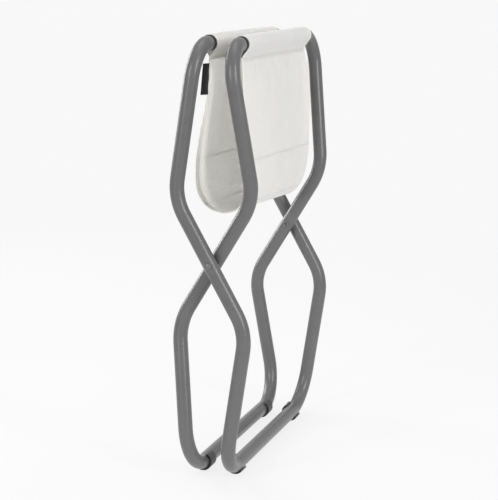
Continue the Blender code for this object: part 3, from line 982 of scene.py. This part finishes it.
def label(look):
    """A folded ribbon caught in the back panel's left hem."""
    low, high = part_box("label")
    height, out = high.z - low.z, LABEL_OUT
    rows, steps = 16, 14
    thickness = 0.4 * MM
    points, uvs = [], []

    def hem_edge(z):
        """Where the cloth's left edge is at a height, as (x, y)."""
        distance = PIVOT.z + BAR_RISE - z
        x = 1.0 * MM - float(half_width(BACK, distance)) + CLOTH_SLIDE
        return x, float(on_line(BACK, x, distance)[0]) - 1.0 * MM

    top_y, bottom_y = (hem_edge(z)[1] for z in (high.z, high.z - height))
    for i in range(rows + 1):
        down = i / rows
        z = high.z - height * down
        edge_x = hem_edge(z)[0]
        edge_y = top_y + (bottom_y - top_y) * down
        turn = math.radians(20.0 + 9.0 * down)
        ring = []
        for k in range(steps + 1):
            share = k / steps
            x = edge_x - (out * math.cos(turn) + 1.0 * MM) * share
            y = edge_y + out * math.sin(turn) * share ** 1.15
            open_up = 0.45 * MM * math.sin(math.pi * min(share * 1.02, 1.0)) + thickness
            ring.append((x, y, open_up))
        for x, y, open_up in ring:
            points.append((x, y - open_up, z))
            uvs.append((x - low.x, z))
        for x, y, open_up in reversed(ring):
            points.append((x, y + open_up, z))
            uvs.append((2 * out - (x - low.x), z))
    count = 2 * (steps + 1)
    faces = strips(rows + 1, count)
    for row in (0, rows):
        for k in range(steps):
            face = (row * count + k, row * count + k + 1,
                    row * count + count - 2 - k, row * count + count - 1 - k)
            faces.append(face if row else tuple(reversed(face)))
    made = piece("woven_label", points, faces, look, uvs=uvs, sharp=50.0)
    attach(made, "outer_sling_upper")
    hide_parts("label")


# ---------------------------------------------------------------- stage


def floor():
    """A plain pale floor that fades out towards its rim."""
    rings, segments, radius = 24, 96, 3.2
    points = [(0.0, 0.0, 0.0)]
    for i in range(1, rings + 1):
        for k in range(segments):
            angle = 2 * math.pi * k / segments
            points.append((radius * i / rings * math.cos(angle), radius * i / rings * math.sin(angle), 0.0))
    faces = [(0, 1 + k, 1 + (k + 1) % segments) for k in range(segments)]
    for i in range(rings - 1):
        for k in range(segments):
            a, b = 1 + i * segments + k, 1 + i * segments + (k + 1) % segments
            faces.append((a, a + segments, b + segments, b))
    n = Nodes("floor_paper")
    place = n.coordinates("Object")
    distance = n.node("ShaderNodeVectorMath", operation="LENGTH")
    n.link(place, distance.inputs[0])
    fibre = n.noise(place, 240.0, 3.0, 0.6)
    n.set(Base_Color=n.mix(n.ramp(fibre, (0.3, 0.0), (0.8, 1.0)), (0.14, 0.14, 0.14), (0.135, 0.135, 0.135)))
    n.set(Emission_Color=(1.0, 1.0, 1.0, 1.0), Emission_Strength=0.80)
    n.set(Roughness=0.9, Specular_IOR_Level=0.1)
    n.set(Alpha=n.ramp(n.math("MULTIPLY", distance.outputs["Value"], 0.4), (0.22, 1.0), (0.82, 0.0)))
    made = piece("floor", points, faces, n.material)


def area_light(name, place, size, power):
    light = bpy.data.lights.new(name, "AREA")
    light.shape = "RECTANGLE"
    light.size, light.size_y = size
    light.energy = power
    made = bpy.data.objects.new(name, light)
    made.location = place
    made.rotation_mode = "QUATERNION"
    made.rotation_quaternion = (Vector(place) - PIVOT).to_track_quat("Z", "Y")
    bpy.context.collection.objects.link(made)


def view_axes():
    """The camera's backward, right and up directions."""
    a, e = VIEW_AZIMUTH, VIEW_ELEVATION
    back = Vector((math.sin(a) * math.cos(e), -math.cos(a) * math.cos(e), math.sin(e)))
    level = Vector((math.cos(a), math.sin(a), 0))
    upright = back.cross(level)
    right = math.cos(VIEW_ROLL) * level + math.sin(VIEW_ROLL) * upright
    up = math.cos(VIEW_ROLL) * upright - math.sin(VIEW_ROLL) * level
    return back, right, up


def studio():
    """A white backdrop behind the stool, greyer surroundings, and soft strip lights."""
    world = bpy.data.worlds.new("studio")
    scene = bpy.context.scene
    scene.world = world
    scene.view_settings.view_transform = "Standard"
    world.use_nodes = True
    tree = world.node_tree
    background = tree.nodes["Background"]
    place = tree.nodes.new("ShaderNodeTexCoord")
    facing = tree.nodes.new("ShaderNodeVectorMath")
    facing.operation = "DOT_PRODUCT"
    facing.inputs[1].default_value = -view_axes()[0]
    shade = tree.nodes.new("ShaderNodeValToRGB")
    shade.color_ramp.elements[0].position = 0.60
    shade.color_ramp.elements[0].color = (0.52, 0.52, 0.523, 1.0)
    shade.color_ramp.elements[1].position = 0.93
    shade.color_ramp.elements[1].color = (1.0, 1.0, 1.0, 1.0)
    tree.links.new(place.outputs["Generated"], facing.inputs[0])
    tree.links.new(facing.outputs["Value"], shade.inputs[0])
    tree.links.new(shade.outputs[0], background.inputs["Color"])
    background.inputs["Strength"].default_value = 0.94
    area_light("key", (-1.46, -2.62, 1.5), (0.7, 1.8), 44.0)
    area_light("left", (-2.75, 1.0, 1.3), (0.4, 1.6), 28.0)
    area_light("behind", (0.9, 2.8, 1.3), (1.6, 1.6), 54.0)
    area_light("top", (0.2, -0.1, 2.8), (1.8, 1.2), 12.0)


def camera():
    back, right, up = view_axes()
    lens = bpy.data.cameras.new("camera")
    lens.sensor_width = 36.0
    lens.lens = LENS
    made = bpy.data.objects.new("camera", lens)
    made.rotation_mode = "QUATERNION"
    made.location = VIEW_TARGET + back * VIEW_DISTANCE - right * VIEW_RIGHT - up * VIEW_UP
    made.rotation_quaternion = Matrix((right, up, back)).transposed().to_quaternion()
    bpy.context.collection.objects.link(made)
    bpy.context.scene.camera = made


# ---------------------------------------------------------------- build


camera()
paint = painted_steel("satin_paint", (0.132, 0.132, 0.133), (0.26, 0.26, 0.26), 0.31)
head = painted_steel("rivet_head_paint", (0.150, 0.150, 0.151), (0.30, 0.30, 0.30), 0.30)
plastic = moulded_plastic("moulded_black", (0.016, 0.016, 0.017), 0.48)
# The clips' near-black last colour is painted shade on their end faces.
clip = moulded_plastic("moulded_dark_grey", (0.060, 0.060, 0.061), 0.50, (0.006, 0.006, 0.006))
canvas = woven_canvas("ecru_canvas", (0.94, 0.925, 0.88), (0.84, 0.82, 0.765), through=1.0)
thread = sewing_thread("ecru_thread", (0.82, 0.80, 0.75))
ribbon = woven_canvas("black_ribbon", (0.016, 0.016, 0.018), (0.010, 0.010, 0.011), 0.7 * MM, 0.1)

bent_frame("outer_tube", "outer_frame", "outer_frame_tube", BACK,
           OUTER_HALF_WIDTH, OUTER_HALF_WIDTH, OUTER_ELBOW_END, paint)
bent_frame("inner_tube", "inner_frame", "inner_frame_tube", FRONT,
           INNER_HALF_WIDTH, INNER_WAIST, INNER_ELBOW_END, paint)
for name, bar_side, elbow_end, sleeve_half in (
        ("outer", BACK, OUTER_ELBOW_END, OUTER_SLEEVE_HALF),
        ("inner", FRONT, INNER_ELBOW_END, INNER_SLEEVE_HALF)):
    top_bar(name, bar_side, elbow_end, paint)
    for hand, side in (("right", RIGHT), ("left", LEFT)):
        plug(name, bar_side, hand, side, elbow_end, plastic)
        glide(name, bar_side, hand, side, clip)
    sling_half(name, bar_side, sleeve_half, canvas, thread)
for hand, side in (("right", RIGHT), ("left", LEFT)):
    rivet(hand, side, head)
    washer(hand, side, plastic)
label(ribbon)

floor()
studio()
